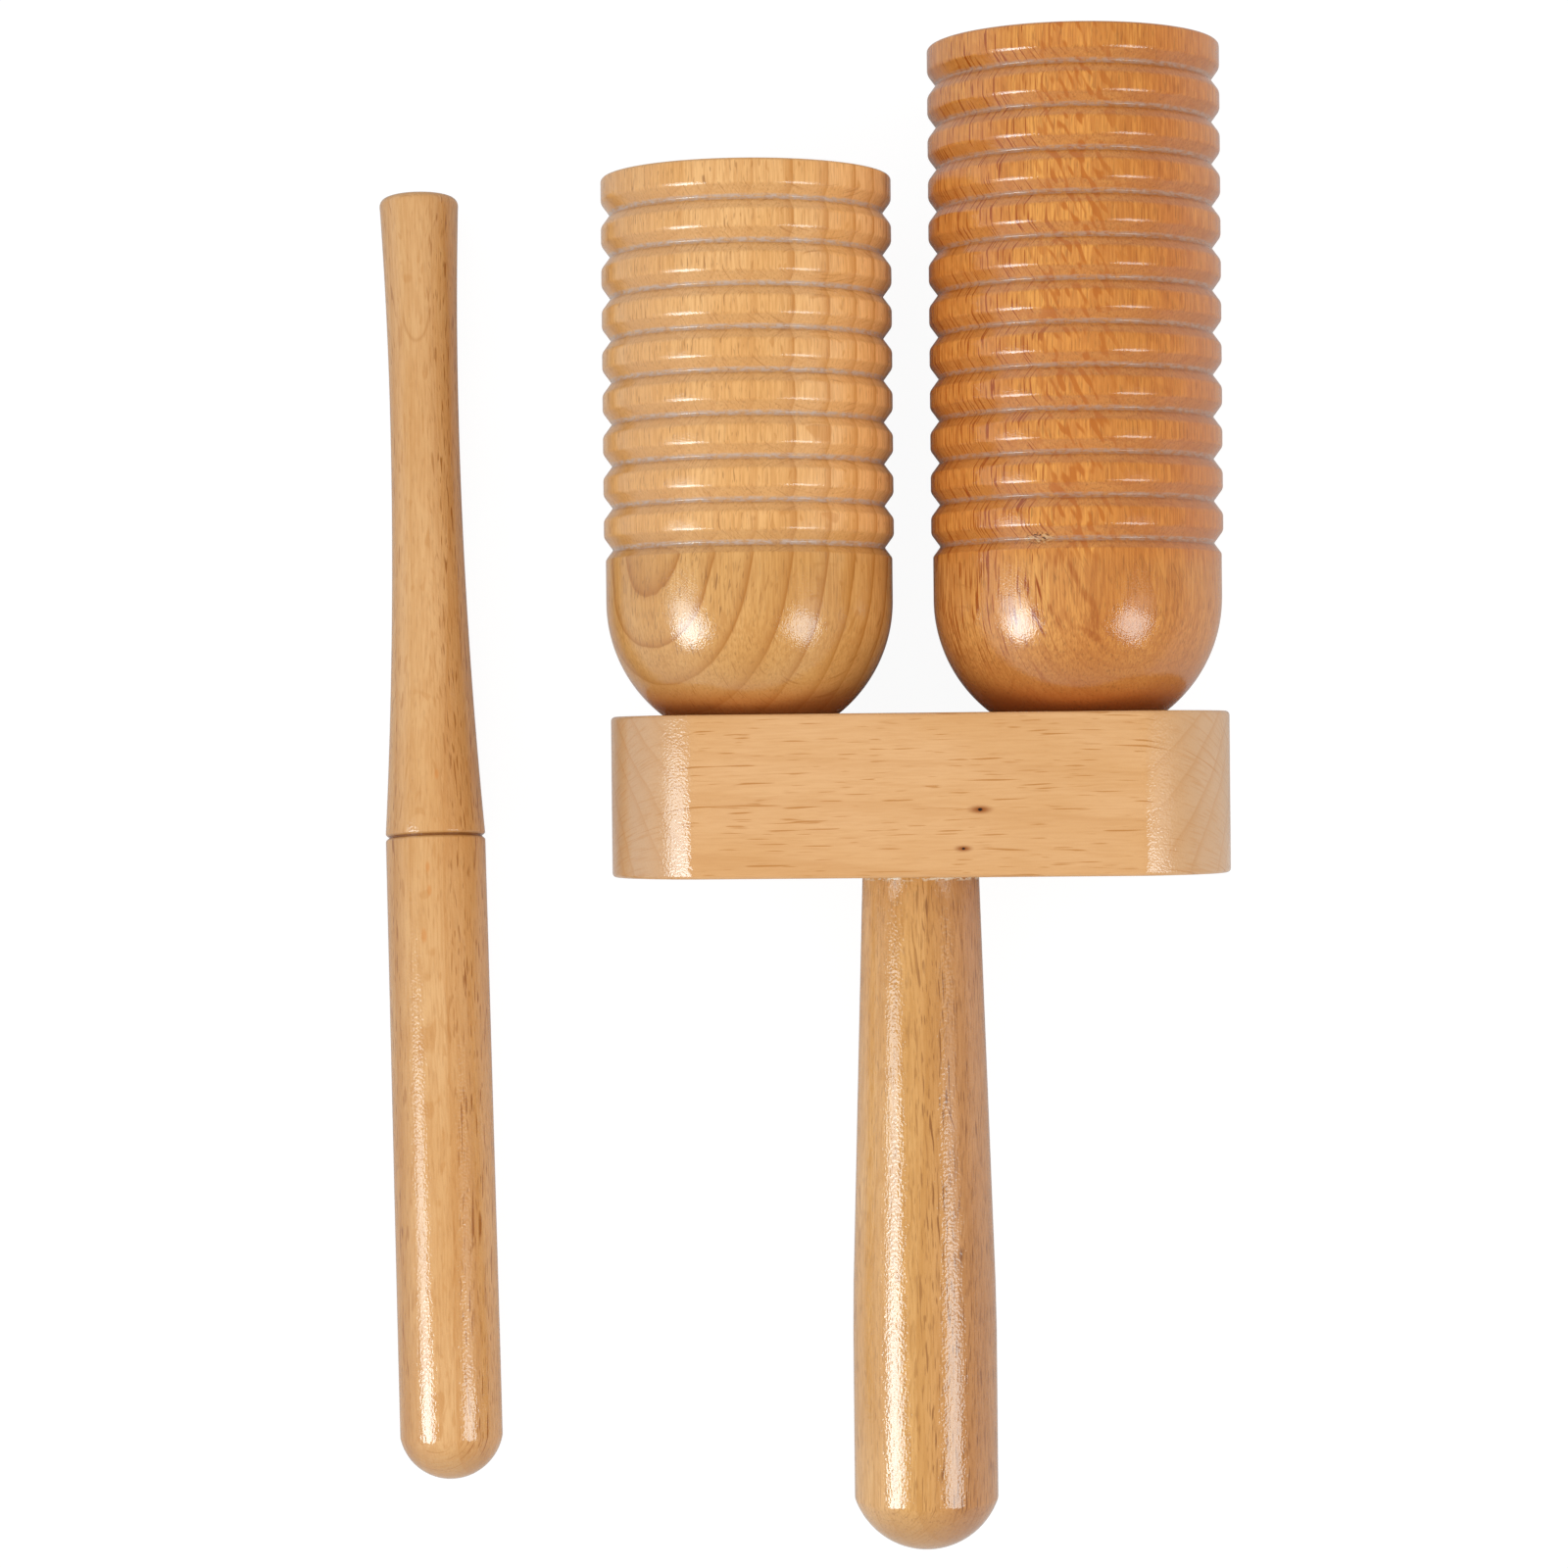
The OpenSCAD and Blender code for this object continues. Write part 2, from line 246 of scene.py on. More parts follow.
def beech(name, place, turn, heart, lean, years, colours, rays, wander=1.6, ring_fade=None):
    """Turned or sawn beech: growth rings round the tree's heart, ray flecks, fibres and end grain.

    heart is the middle of the tree seen from the piece's own axis, in mm, with the grain along the
    piece's own Z. lean is how far the heart moves sideways for each mm along, how much the rings bow,
    and the levels between which they do. years is the width of a year's growth, or where each one ends.
    ring_fade says above which level the rings grow faint, and how much of them is lost from x to x.
    """
    wood = bpy.data.materials.new(name)
    wood.use_nodes = True
    tree = wood.node_tree
    where = tree.nodes.new("ShaderNodeTexCoord").outputs
    own_frame = {"Vector": where["Object"], "Location": place, "Rotation": turn, "Scale": (MM, MM, MM)}
    point = add(tree, "Mapping", own_frame, vector_type="TEXTURE").outputs[0]
    own_turn = {"Vector": where["Normal"], "Rotation": turn}
    facing = add(tree, "Mapping", own_turn, vector_type="TEXTURE").outputs[0]
    own = parts_of(tree, point)

    # The grain wanders slowly, and the rings run round the heart
    drift_per_mm = (0.035, 0.035, 0.009)
    ripple_per_mm = (0.3, 0.3, 0.06)
    ripple_mm = 0.5
    drift = noise(tree, stretch(tree, point, drift_per_mm))["Color"]
    drift = add(tree, "VectorMath", {0: drift, 1: (0.5, 0.5, 0.5)}, operation="SUBTRACT").outputs[0]
    drift = stretch(tree, drift, (2 * wander, 2 * wander, 0.0))
    grown = add(tree, "VectorMath", {0: point, 1: drift}, operation="ADD").outputs[0]
    climb = work_out(tree, "MINIMUM", parts_of(tree, grown)[2], lean["to"])
    climb = work_out(tree, "SUBTRACT", climb, lean["from"])
    back = (-lean["x"], -lean["y"], 0.0)
    upright = add(tree, "VectorMath", {0: climb, 1: back, 2: grown}, operation="MULTIPLY_ADD").outputs[0]
    log = add(tree, "VectorMath", {0: upright, 1: (*heart, 0.0)}, operation="SUBTRACT").outputs[0]
    across = stretch(tree, log, (1.0, 1.0, 0.0))
    out = length_of(tree, across)
    bow = product(tree, climb, climb, lean["bow"])
    log_x, log_y, up = parts_of(tree, log)
    round_heart = product(tree, work_out(tree, "ARCTAN2", log_y, log_x), math.hypot(*heart))
    ripple = cloud(tree, stretch(tree, point, ripple_per_mm))
    ringed = work_out(tree, "ADD", work_out(tree, "MULTIPLY_ADD", ripple, ripple_mm, out), bow)
    if isinstance(years, list):
        first, last, count = years[0], years[-1], len(years) - 1
        share = add(tree, "MapRange", {0: ringed, 1: first, 2: last}).outputs[0]
        ages = add(tree, "FloatCurve", {1: share})
        line = ages.mapping.curves[0]
        for i, edge in enumerate(years[1:-1], 1):
            line.points.new((edge - first) / (last - first), i / count)
        for p in line.points:
            p.handle_type = "VECTOR"
        ages.mapping.update()
        year = product(tree, ages.outputs[0], float(count))
    else:
        changes_per_year = 0.45
        uneven_years = 1.3
        even = work_out(tree, "DIVIDE", ringed, years)
        pace = {"W": product(tree, even, changes_per_year), "Scale": 1.0, "Detail": 1.0}
        uneven = add(tree, "TexNoise", pace, noise_dimensions="1D").outputs[0]
        year = work_out(tree, "MULTIPLY_ADD", uneven, uneven_years, even)

    # Each year starts pale and ends in a dark line, and no two years are quite alike
    season = add(tree, "ValToRGB", {0: work_out(tree, "FRACT", year)})
    stops = season.color_ramp.elements
    stops[0].color = (0.3, 0.3, 0.3, 1)
    stops[1].color = (0.75, 0.75, 0.75, 1)
    for time_of_year, level in ((0.045, 0.0), (0.5, 0.03), (0.75, 0.22), (0.9, 0.62), (0.975, 1.0)):
        stops.new(time_of_year).color = (level, level, level, 1)
    late = season.outputs[0]
    this_year = work_out(tree, "FLOOR", year)
    luck = add(tree, "TexWhiteNoise", {"W": this_year}, noise_dimensions="1D").outputs[0]

    # Rays show as dark dashes on flat-sawn faces, as soft broad bands on quarter-sawn ones
    small_share = 0.8
    end_share = 0.3
    end_grain = ease(tree, work_out(tree, "ABSOLUTE", parts_of(tree, facing)[2]), 0.2, 0.75)
    outward = add(tree, "VectorMath", {0: across}, operation="NORMALIZE").outputs[0]
    flat_sawn = add(tree, "VectorMath", {0: facing, 1: outward}, operation="DOT_PRODUCT").outputs["Value"]
    flat_sawn = ease(tree, work_out(tree, "ABSOLUTE", flat_sawn), 0.3, 0.8)
    cut_across = work_out(tree, "MAXIMUM", flat_sawn, end_grain)
    large = ray_flecks(tree, out, round_heart, up, rays["large"], rays["level"])
    small = ray_flecks(tree, out, round_heart, up, rays["small"], rays["level"])
    ray = work_out(tree, "MAXIMUM", large, product(tree, small, small_share))
    dark_ray = product(tree, ray, cut_across, ease(tree, end_grain, 0.0, 1.0, 1.0, end_share))
    broad_ray = work_out(tree, "SUBTRACT", ray, dark_ray)

    # Fine ray lines on end grain, fibres and pores along the grain
    fibres_per_mm = (3.0, 3.0, 0.16)
    pores_per_mm = (3.4, 3.4, 0.4)
    mottle_per_mm = (0.09, 0.09, 0.03)
    end_lines_per_mm = (0.09, 2.8, 0.3)
    radial = add(tree, "CombineXYZ", {
        0: product(tree, out, end_lines_per_mm[0]),
        1: product(tree, round_heart, end_lines_per_mm[1]),
        2: product(tree, up, end_lines_per_mm[2]),
    }).outputs[0]
    end_lines = work_out(tree, "MAXIMUM", ease(tree, cloud(tree, radial), 0.48, 0.7), late)
    fibre = cloud(tree, stretch(tree, grown, fibres_per_mm), rough=0.6)
    streak = cloud(tree, stretch(tree, point, pores_per_mm), detail=1.0)
    mottle = cloud(tree, stretch(tree, point, mottle_per_mm), detail=3.0)

    if ring_fade:
        lost = product(tree, ease(tree, own[2], *ring_fade["z"]), ease(tree, own[0], *ring_fade["lost"]))
        kept = work_out(tree, "SUBTRACT", 1.0, lost)
        luck = product(tree, luck, kept)
        late = product(tree, late, kept)
    luck_show = 0.3
    end_tone = 0.75
    broad_show = 0.5
    colour = tint(tree, ease(tree, mottle, 0.36, 0.64), colours["pale"], colours["warm"])
    for share, over in (
        (product(tree, luck, luck_show), "warm"),
        (product(tree, late, colours["ring_show"]), "late"),
        (ease(tree, fibre, 0.38, 0.64, 0.0, colours["fibre_show"]), "late"),
        (product(tree, end_grain, end_tone), "end"),
        (product(tree, end_grain, end_lines, colours["end_show"]), "late"),
        (product(tree, ease(tree, streak, 0.56, 0.72), colours["pore_show"]), "fleck"),
        (product(tree, broad_ray, broad_show), "late"),
        (product(tree, dark_ray, colours["fleck_show"]), "fleck"),
    ):
        colour = tint(tree, share, colour, colours[over])
    return {"wood": wood, "tree": tree, "point": point, "x": own[0], "z": own[2], "colour": colour,
            "fibre": fibre, "streak": streak, "end_grain": end_grain}


def stain(grain, share, colour, kind="MIX"):
    """Lays one more colour over the wood."""
    grain["colour"] = tint(grain["tree"], share, grain["colour"], colour, kind)


def spot(grain, middle, reach, low, high, turn=(0.0, 0.0, 0.0)):
    """A soft oval mark: 1 at its middle, 0 outside."""
    oval = {"Vector": grain["point"], "Location": middle, "Rotation": turn, "Scale": reach}
    shares = add(grain["tree"], "Mapping", oval, vector_type="TEXTURE").outputs[0]
    return ease(grain["tree"], length_of(grain["tree"], shares), low, high, 1.0, 0.0)


def lacquer(grain, dull, peel_mm, peel_fineness):
    """Brushes clear lacquer over the wood: a soft gloss with fine bumps that break the light."""
    pore_dip = -0.5
    tree = grain["tree"]
    shader = tree.nodes["Principled BSDF"]
    across, along = peel_fineness
    peel = cloud(tree, stretch(tree, grain["point"], (across, across, along)), detail=0.0)
    height = work_out(tree, "MULTIPLY_ADD", grain["streak"], pore_dip, peel)
    bumps = add(tree, "Bump", {"Strength": 1.0, "Distance": peel_mm * MM, "Height": height})
    tree.links.new(grain["colour"], shader.inputs["Base Color"])
    tree.links.new(dull, shader.inputs["Roughness"])
    tree.links.new(bumps.outputs[0], shader.inputs["Normal"])
    shader.inputs["Specular IOR Level"].default_value = 0.8
    shader.inputs["Specular Tint"].default_value = (0.74, 0.93, 1.0, 1)
    return grain["wood"]


def finish_piece(piece, wood, body, node):
    """Gives the piece its wood, hangs it under its body and hides the part it stands for."""
    piece.data.materials.clear()
    piece.data.materials.append(wood)
    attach(piece, body)
    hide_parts(node)


bar_grain_turn = Matrix.Rotation(block_turn[0], 3, "X") @ Matrix.Rotation(math.radians(90), 3, "Y")
bar_grain = beech(
    "bar_beech", block_place, bar_grain_turn.to_euler(), heart=(42.0, 44.0),
    lean={"x": 0.01, "y": 0.02, "bow": 0.0, "from": 0.0, "to": 100.0}, years=3.4,
    colours={
        "pale": (0.77, 0.445, 0.205, 1), "warm": (0.72, 0.395, 0.163, 1), "late": (0.58, 0.27, 0.085, 1),
        "fleck": (0.48, 0.19, 0.035, 1), "end": (0.62, 0.38, 0.21, 1),
        "ring_show": 0.25, "fibre_show": 0.2, "pore_show": 0.08, "fleck_show": 0.75, "end_show": 0.5,
    },
    rays={"large": (12.0, 0.35, 8.0), "small": (9.0, 0.23, 4.6), "level": 0.715},
)
knot_brown = (0.32, 0.085, 0.008, 1)
knot_black = (0.02, 0.008, 0.004, 1)
mark_depth = 3.0
for knot, size in (((15.5, -19.3, 9.9), 1.0), ((21.7, -19.3, 7.2), 0.75)):
    halo = spot(bar_grain, knot, (0.95 * size, mark_depth, 2.6 * size), low=0.1, high=1.0)
    stain(bar_grain, halo, knot_brown)
    core = spot(bar_grain, knot, (0.36 * size, mark_depth, 0.5 * size), low=0.4, high=1.0)
    stain(bar_grain, core, knot_black)
bar_dull = ease(bar_grain["tree"], bar_grain["end_grain"], 0.0, 1.0, 0.08, 0.13)
bar_wood = lacquer(bar_grain, bar_dull, peel_mm=0.034, peel_fineness=(3.0, 2.6))
finish_piece(crossbar, bar_wood, "block", "crossbar")


# Handle
# Turned from one piece of yellow-tan beech: a tenon that is glued into the crossbar, a taper
# that widens to a straight grip, and a domed end that meets the grip in a fine crease.

tenon_radius = 7.0 * MM
tenon_top = -10.3 * MM
tenon_edge = 0.8 * MM
neck_radius = 9.55 * MM
neck_edge = 0.3 * MM
grip_radius = 11.75 * MM
taper_end = -96.8 * MM
taper_blend = 4.0 * MM
grip_end = -128.4 * MM
grip_crease = 0.25 * MM
handle_tip = -136.8 * MM
handle_ball = 12.4183 * MM


def turn_on_lathe(piece, steps):
    """Turns the drawn half section into a round piece."""
    bpy.ops.mesh.select_mode(type="VERT")
    bpy.ops.mesh.select_all(action="SELECT")
    bpy.ops.mesh.spin(steps=steps, angle=2 * math.pi, center=(0, 0, 0), axis=(0, 0, 1))
    close_up(piece)


handle = start_line("beech_handle", (0, 0, tenon_top))
line_to(
    handle, (tenon_radius, 0, tenon_top), (tenon_radius, 0, -bar_height), (neck_radius, 0, -bar_height),
    (neck_radius + (grip_radius - neck_radius) / 2, 0, (taper_end - bar_height) / 2),
    (grip_radius, 0, taper_end), (grip_radius, 0, (taper_end + grip_end) / 2), (grip_radius, 0, grip_end),
)
handle_centre = handle_tip + handle_ball
handle_sweep = 90 - math.degrees(math.atan2(handle_centre - grip_end, grip_radius))
arc_on(28, -handle_sweep, centre=(0, 0, handle_centre), axis=(0, 1, 0))
round_corners(handle, [(tenon_radius, 0, tenon_top)], size=tenon_edge, segments=3)
round_corners(handle, [(neck_radius, 0, -bar_height)], size=neck_edge, segments=4)
round_corners(handle, [(grip_radius, 0, taper_end)], size=taper_blend, segments=4)
round_corners(handle, [(grip_radius, 0, grip_end)], size=grip_crease, segments=3)
turn_on_lathe(handle, steps=160)
lay_down(handle, block_place, block_turn, smooth_degrees=30)

handle_grain = beech(
    "handle_beech", block_place, block_turn, heart=(50.0, -50.0),
    lean={"x": 0.012, "y": -0.01, "bow": 0.0, "from": -80.0, "to": 0.0}, years=4.2,
    colours={
        "pale": (0.76, 0.425, 0.15, 1), "warm": (0.67, 0.345, 0.108, 1), "late": (0.55, 0.255, 0.06, 1),
        "fleck": (0.30, 0.12, 0.032, 1), "end": (0.52, 0.27, 0.095, 1),
        "ring_show": 0.5, "fibre_show": 0.5, "pore_show": 0.4, "fleck_show": 0.9, "end_show": 0.5,
    },
    rays={"large": (10.0, 0.32, 5.0), "small": (7.0, 0.22, 3.0), "level": 0.68},
)
handle_tree = handle_grain["tree"]
# Painted light and shade: the right of the handle is painted darker and redder and its left paler, as the
# left lamp is the stronger
redder = ease(handle_tree, handle_grain["x"], -3.0, 9.0)
stain(handle_grain, redder, (0.80, 0.70, 0.80, 1), "MULTIPLY")
paler = ease(handle_tree, handle_grain["x"], -9.0, -3.5, 1.0, 0.0)
stain(handle_grain, paler, (1.12, 1.2, 1.45, 1), "MULTIPLY")
scuff_tan = (0.62, 0.36, 0.21, 1)
scuff = spot(handle_grain, (4.9, -9.6, -66.6), (1.3, mark_depth, 1.5), low=0.2, high=1.0)
stain(handle_grain, product(handle_tree, scuff, 0.35), scuff_tan)


def crack(grain, start, end, width):
    """A fine split in the front of a piece, from one place to another."""
    run = Vector(end) - Vector(start)
    side = run.cross(Vector((0.0, 1.0, 0.0)))
    turn = Matrix((side.normalized(), side.cross(run).normalized(), run.normalized())).transposed()
    middle = (Vector(start) + Vector(end)) / 2
    reach = (width, mark_depth, run.length / 2)
    return spot(grain, middle, reach, low=0.3, high=1.0, turn=turn.to_euler())


split_brown = (0.30, 0.11, 0.03, 1)
split = crack(handle_grain, (3.8, -10.0, -62.5), (5.5, -9.4, -68.0), width=0.16)
stain(handle_grain, split, split_brown)
glue_pale = (0.80, 0.66, 0.48, 1)
glue_drops = cloud(handle_tree, stretch(handle_tree, handle_grain["point"], (0.9, 0.9, 2.5)), rough=0.6)
glue_drops = ease(handle_tree, glue_drops, 0.46, 0.54)
glue = product(handle_tree, ease(handle_tree, handle_grain["z"], -27.3, -26.8), glue_drops)
stain(handle_grain, glue, glue_pale)
handle_dull = ease(handle_tree, handle_grain["fibre"], 0.3, 0.7, 0.07, 0.11)
handle_wood = lacquer(handle_grain, handle_dull, peel_mm=0.04, peel_fineness=(2.8, 2.2))
finish_piece(handle, handle_wood, "block", "handle")


# Short ribbed tube
# The high-pitched tube, turned from pale beech: bored from the mouth, with V grooves cut round
# it for scraping and a ball-shaped foot. It stands on the foot's flat, on the crossbar.

tube_radius = 23.79 * MM
foot_radius = 23.5 * MM
bore_radius = 18.0 * MM
bore_floor = 18.0 * MM
bore_corner_round = 1.2 * MM
foot_flat = 14.25 * MM
foot_edge = 0.3 * MM
dome_top = 18.6866 * MM
lowest_groove = 27.2866 * MM
groove_pitch = 6.85 * MM
groove_half = 2.05 * MM
groove_depth = 1.5 * MM
groove_round = 0.2 * MM
crest_round = 0.38 * MM
mouth_band = 6.0 * MM
mouth_chamfer = 0.8 * MM
rim_round = 0.6 * MM
screw_hole_radius = 2.15 * MM
sink_radius = 4.4 * MM


def ribbed_tube(name, grooves):
    """Draws the half section of a tube and turns it."""
    mouth = lowest_groove + (grooves - 1) * groove_pitch + mouth_band
    groove_floor = tube_radius - groove_depth
    skirt_edge = lowest_groove - groove_half * (foot_radius - groove_floor) / groove_depth
    tube = start_line(name, (screw_hole_radius, 0, 0))
    line_to(tube, (foot_flat, 0, 0))
    dome_sweep = math.degrees(math.atan2(dome_top, foot_flat))
    arc_on(36, dome_sweep, centre=(0, 0, dome_top), axis=(0, 1, 0))
    line_to(tube, (foot_radius, 0, skirt_edge))
    bottoms = []
    crests = []
    for i in range(grooves):
        level = lowest_groove + i * groove_pitch
        bottoms.append((groove_floor, 0, level))
        crests.append((tube_radius, 0, level + groove_half))
        line_to(tube, bottoms[-1], crests[-1])
        if i < grooves - 1:
            crests.append((tube_radius, 0, level + groove_pitch - groove_half))
            line_to(tube, crests[-1])
    rim = (tube_radius, 0, mouth)
    bore_corner = (bore_radius, 0, bore_floor)
    line_to(
        tube, rim, (bore_radius + mouth_chamfer, 0, mouth), (bore_radius, 0, mouth - mouth_chamfer),
        bore_corner, (sink_radius, 0, bore_floor),
        (screw_hole_radius, 0, bore_floor + screw_hole_radius - sink_radius),
    )
    bpy.ops.mesh.select_all(action="SELECT")
    round_corners(tube, [rim], size=rim_round, segments=5)
    round_corners(tube, [bore_corner], size=bore_corner_round, segments=5)
    round_corners(tube, crests, size=crest_round, segments=5)
    round_corners(tube, bottoms, size=groove_round, segments=4)
    round_corners(tube, [(foot_radius, 0, skirt_edge)], size=groove_round, segments=3)
    round_corners(tube, [(foot_flat, 0, 0)], size=foot_edge, segments=3)
    pick(tube, "VERT", lambda v: len(v.link_edges) == 1)
    bpy.ops.mesh.edge_face_add()
    turn_on_lathe(tube, steps=176)
    return tube


def from_axis(grain):
    """How far a place is from the axis of a turned piece, in mm."""
    return length_of(grain["tree"], stretch(grain["tree"], grain["point"], (1.0, 1.0, 0.0)))


def groove_fibres_and_shade(grain, pale_colour):
    """Painted shade on the groove flank that faces away from the lamps and round the foot where it stands
    on the crossbar, and pale torn fibres in the bottom of each groove.
    """
    foot_shade_brown = (0.78, 0.52, 0.38, 1)
    groove_shade_grey = (0.45, 0.36, 0.30, 1)
    tree = grain["tree"]
    radius = from_axis(grain)
    first_level = 0.5 - lowest_groove / groove_pitch
    level = work_out(tree, "MULTIPLY_ADD", grain["z"], MM / groove_pitch, first_level)
    level = work_out(tree, "FRACT", level)
    off_middle = work_out(tree, "ABSOLUTE", work_out(tree, "SUBTRACT", level, 0.5))
    outside = product(tree, ease(tree, radius, 20.0, 20.5), ease(tree, grain["z"], 25.6, 25.9))
    groove_cloud = cloud(tree, stretch(tree, grain["point"], (0.9, 0.9, 2.4)), rough=0.6)
    # Painted shade: the flank just under each groove bottom, which faces away from the lamps
    groove_shade = product(
        tree, ease(tree, level, 0.3, 0.44), ease(tree, level, 0.5, 0.56, 1.0, 0.0),
        ease(tree, radius, 22.4, 23.3, 1.0, 0.0), ease(tree, groove_cloud, 0.35, 0.65, 0.35, 0.8), outside,
    )
    pale = product(
        tree, ease(tree, radius, 22.45, 22.72, 1.0, 0.0), ease(tree, off_middle, 0.06, 0.12, 1.0, 0.0),
        ease(tree, groove_cloud, 0.36, 0.64, 0.2, 0.85), outside,
    )
    # Painted shade round the foot, where it stands on the crossbar
    stain(grain, ease(tree, grain["z"], 0.5, 6.0, 1.0, 0.0), foot_shade_brown, "MULTIPLY")
    stain(grain, groove_shade, groove_shade_grey, "MULTIPLY")
    stain(grain, pale, pale_colour)


high_tube = ribbed_tube("beech_high_tube", grooves=9)
high_place = block_place + Vector((high_tube_x, 0, 0))
lay_down(high_tube, high_place, block_turn, smooth_degrees=30)
high_grain = beech(
    "high_tube_beech", high_place, block_turn, heart=(-50.8, -61.8),
    lean={"x": 0.2115, "y": 0.0367, "bow": 0.00437, "from": 20.0, "to": 28.0},
    years=[54.8, 57.0, 60.0, 64.8, 70.8, 77.0, 82.7, 87.6, 92.4, 97.0, 101.8, 106.4, 111.0],
    colours={
        "pale": (0.77, 0.43, 0.152, 1), "warm": (0.705, 0.36, 0.108, 1), "late": (0.48, 0.19, 0.036, 1),
        "fleck": (0.24, 0.09, 0.022, 1), "end": (0.56, 0.28, 0.08, 1),
        "ring_show": 1.0, "fibre_show": 0.42, "pore_show": 0.25, "fleck_show": 0.6, "end_show": 0.3,
    },
    rays={"large": (8.0, 0.34, 2.6), "small": (6.0, 0.26, 1.5), "level": 0.71},
    wander=0.5, ring_fade={"z": (24.0, 30.0), "lost": (0.0, 9.0, 0.8, 0.1)},
)
high_tree = high_grain["tree"]
# The ribs are painted a little paler all round, and paler still towards the right as painted light, where
# the long tube shades that side
on_ribs = ease(high_tree, high_grain["z"], 24.0, 32.0)
paler = product(high_tree, on_ribs, ease(high_tree, high_grain["x"], 4.0, 20.0, 0.55, 1.0))
stain(high_grain, paler, (1.32, 1.4, 1.76, 1), "MULTIPLY")
groove_fibres_and_shade(high_grain, pale_colour=(0.60, 0.45, 0.36, 1))
high_dull = ease(high_tree, high_grain["fibre"], 0.3, 0.7, 0.09, 0.13)
high_wood = lacquer(high_grain, high_dull, peel_mm=0.022, peel_fineness=(4.6, 3.8))
finish_piece(high_tube, high_wood, "block", "high_tube")


# Long ribbed tube
# The low-pitched tube, turned like the short one from redder beech, with three more grooves.
# Dry checks run along its left side, and its lowest groove has a torn place.

low_tube = ribbed_tube("beech_low_tube", grooves=12)
low_place = block_place + Vector((low_tube_x, 0, 0))
lay_down(low_tube, low_place, block_turn, smooth_degrees=30)
low_grain = beech(
    "low_tube_beech", low_place, block_turn, heart=(22.05, -76.9),
    lean={"x": -0.4035, "y": -0.1849, "bow": 0.0, "from": 20.0, "to": 28.0},
    years=[54.0, 57.6, 58.3, 59.4, 60.4, 63.2, 65.7, 69.3, 70.8, 74.0, 76.4, 79.0, 82.0, 85.0, 88.0, 91.5,
           95.0, 98.5, 102.5, 106.5],
    colours={
        "pale": (0.72, 0.31, 0.068, 1), "warm": (0.64, 0.245, 0.05, 1), "late": (0.48, 0.155, 0.028, 1),
        "fleck": (0.13, 0.04, 0.010, 1), "end": (0.46, 0.17, 0.04, 1),
        "ring_show": 0.55, "fibre_show": 0.7, "pore_show": 0.3, "fleck_show": 0.25, "end_show": 0.35,
    },
    rays={"large": (8.0, 0.34, 3.6), "small": (6.0, 0.26, 2.0), "level": 0.72},
    wander=0.5,
)
low_tree = low_grain["tree"]
low_x = low_grain["x"]
low_z = low_grain["z"]


def strokes(grain, turn, reach):
    """Soft noise drawn out along turned directions."""
    drawn = {"Vector": grain["point"], "Rotation": turn, "Scale": reach}
    drawn = add(grain["tree"], "Mapping", drawn, vector_type="TEXTURE").outputs[0]
    return cloud(grain["tree"], drawn, detail=0.0)


# Checks: fine dry splits on the outside, most of them on the left, and two long ones on the foot
check_brown = (0.29, 0.05, 0.003, 1)
check = ease(low_tree, strokes(low_grain, (0.0, 0.0, math.radians(123)), (0.27, 9.0, 4.4)), 0.63, 0.72)
in_wall = ease(low_tree, from_axis(low_grain), 19.4, 20.4)
in_floor = ease(low_tree, low_z, 16.0, 17.0, 1.0, 0.0)
check = product(
    low_tree, check, work_out(low_tree, "MAXIMUM", in_wall, in_floor),
    ease(low_tree, low_z, 3.0, 14.0, 0.15, 1.0), ease(low_tree, low_x, -9.0, 0.0, 0.9, 0.12),
)
for start, end in (
    ((-7.3, -22.44, 22.54), (-5.9, -22.64, 16.2)),
    ((-8.27, -21.95, 17.31), (-5.1, -21.5, 10.6)),
):
    check = work_out(low_tree, "MAXIMUM", check, crack(low_grain, start, end, width=0.28))

# A dark swirl in the middle of the foot
swirl_brown = (0.40, 0.11, 0.016, 1)
for start, end, width in (
    ((-2.4, -23.4, 25.0), (0.3, -23.5, 18.6), 0.7),
    ((-0.4, -23.5, 19.8), (2.6, -23.3, 15.8), 0.9),
    ((2.0, -23.3, 18.0), (2.5, -22.4, 11.0), 1.2),
    ((-0.8, -22.9, 13.8), (4.2, -21.7, 10.2), 0.9),
):
    swirl = crack(low_grain, start, end, width)
    broken = ease(low_tree, low_grain["fibre"], 0.3, 0.7, 0.5, 0.95)
    stain(low_grain, product(low_tree, swirl, broken), swirl_brown)
stain(low_grain, check, check_brown)

# The foot is paler on the left, and the ribs have soft flames in the middle and are redder on the right
flame_brown = (0.43, 0.115, 0.012, 1)
on_foot = product(low_tree, ease(low_tree, low_z, 4.0, 14.0), ease(low_tree, low_z, 22.0, 26.0, 1.0, 0.0))
paler = product(low_tree, on_foot, ease(low_tree, low_x, -12.0, 6.0, 1.0, 0.12))
stain(low_grain, paler, (1.17, 1.35, 1.75, 1), "MULTIPLY")
on_ribs = ease(low_tree, low_z, 22.0, 27.0)
flames = strokes(low_grain, (0.0, math.radians(-24), 0.0), (0.95, 2.4, 3.0))
flames = product(
    low_tree, ease(low_tree, flames, 0.53, 0.67, 0.0, 0.85), on_ribs,
    ease(low_tree, low_x, -8.0, -3.0, 0.3, 1.0), ease(low_tree, low_x, 2.0, 9.0, 1.0, 0.2),
)
stain(low_grain, flames, flame_brown)
paler = product(low_tree, on_ribs, ease(low_tree, low_x, 0.0, 14.0, 1.0, 0.0))
stain(low_grain, paler, (1.19, 1.25, 1.24, 1), "MULTIPLY")
redder = product(low_tree, on_ribs, ease(low_tree, low_x, 4.0, 16.0))
stain(low_grain, redder, (1.03, 0.93, 0.82, 1), "MULTIPLY")
groove_fibres_and_shade(low_grain, pale_colour=(0.50, 0.30, 0.20, 1))

